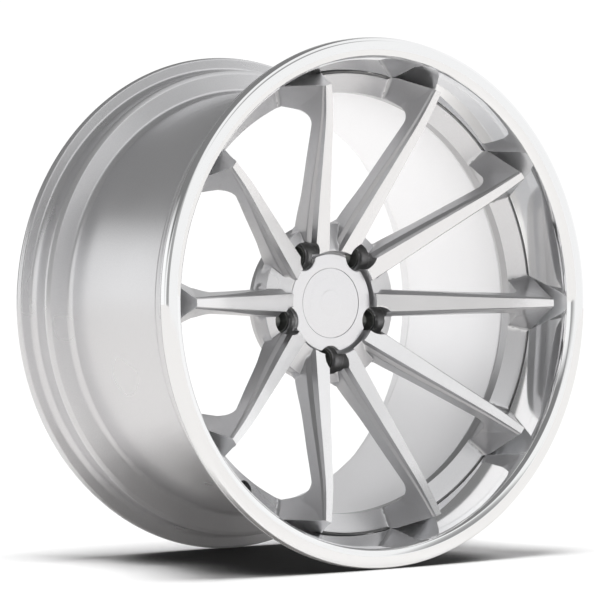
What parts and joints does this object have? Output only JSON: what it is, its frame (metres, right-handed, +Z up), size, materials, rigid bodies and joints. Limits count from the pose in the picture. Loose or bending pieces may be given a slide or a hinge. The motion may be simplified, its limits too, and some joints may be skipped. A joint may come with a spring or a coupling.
{
  "type": "forged two-piece road and track wheel",
  "caption": "Deep concave spoked wheel: barrel, spoked centre disc, bright lip cover, snap-in centre cap and a recessed tyre valve.",
  "frame": {"origin": "middle of the wheel: on its axis, halfway across its overall width", "axes": "+Y along the wheel's axis, from the street face towards the car; +Z up; +X to the right seen from the street side"},
  "size_m": [0.5418, 0.289, 0.5418],
  "materials": {
    "silver_paint": "satin silver paint with fine metal flake over aluminium",
    "machined_silver": "fine machined and clear-coated faces, silver painted sides",
    "chrome_sheet": "mirror polished",
    "adhesive": "cured grey bonding bead",
    "bare_aluminium": "turned, bare",
    "dark_steel": "dark plated, turned",
    "cap_silver": "silver lacquered moulding",
    "spring_steel": "bright drawn wire and sheet",
    "black_anodised": "dark anodised",
    "brass": "turned",
    "rubber": "matt"
  },
  "bodies": {
    "wheel": {"barrel": "silver_paint", "chrome_lip": "chrome_sheet", "lip_adhesive": "adhesive", "centre_disc": "machined_silver", "weld_seam": "bare_aluminium", "lug_seat_1": "dark_steel", "lug_seat_2": "dark_steel", "lug_seat_3": "dark_steel", "lug_seat_4": "dark_steel", "lug_seat_5": "dark_steel", "hub_ring": "bare_aluminium", "valve_stem": "bare_aluminium", "valve_grommet": "rubber", "valve_washer": "spring_steel", "valve_nut": "black_anodised", "valve_core_body": "brass", "valve_core_spring": "spring_steel"},
    "centre_cap": {"cap_shell": "cap_silver", "cap_emblem": "cap_silver", "cap_wire_ring": "spring_steel"},
    "core_pin": {"valve_core_pin": "brass"},
    "dust_cap_seal": {"valve_cap_seal": "rubber"},
    "dust_cap": {"valve_cap": "black_anodised"}
  },
  "joints": [
    {"name": "centre_cap_pull", "type": "slide", "parent": "wheel", "child": "centre_cap", "axis": [0, -1, 0], "range_m": [0, 0.035]},
    {"name": "core_pin_press", "type": "slide", "parent": "wheel", "child": "core_pin", "axis": [-0.3371, 0.8192, -0.464], "range_m": [0, 0.0012], "stiffness_N_per_m": 1500, "springref_m": -0.001, "deforming": ["valve_core_spring"]},
    {"name": "dust_cap_unscrew", "type": "hinge", "parent": "dust_cap_seal", "child": "dust_cap", "pos_m": [-0.13548, -0.08468, -0.18648], "axis": [0.3371, -0.8192, 0.464], "range_deg": [0, 1620]},
    {"name": "dust_cap_lift", "type": "slide", "parent": "wheel", "child": "dust_cap_seal", "axis": [0.3371, -0.8192, 0.464], "range_m": [0, 0.00357]}
  ],
  "couplings": [
    {"joint": "dust_cap_unscrew", "follows": "dust_cap_lift", "rad_per_m": 7913.3}
  ]
}
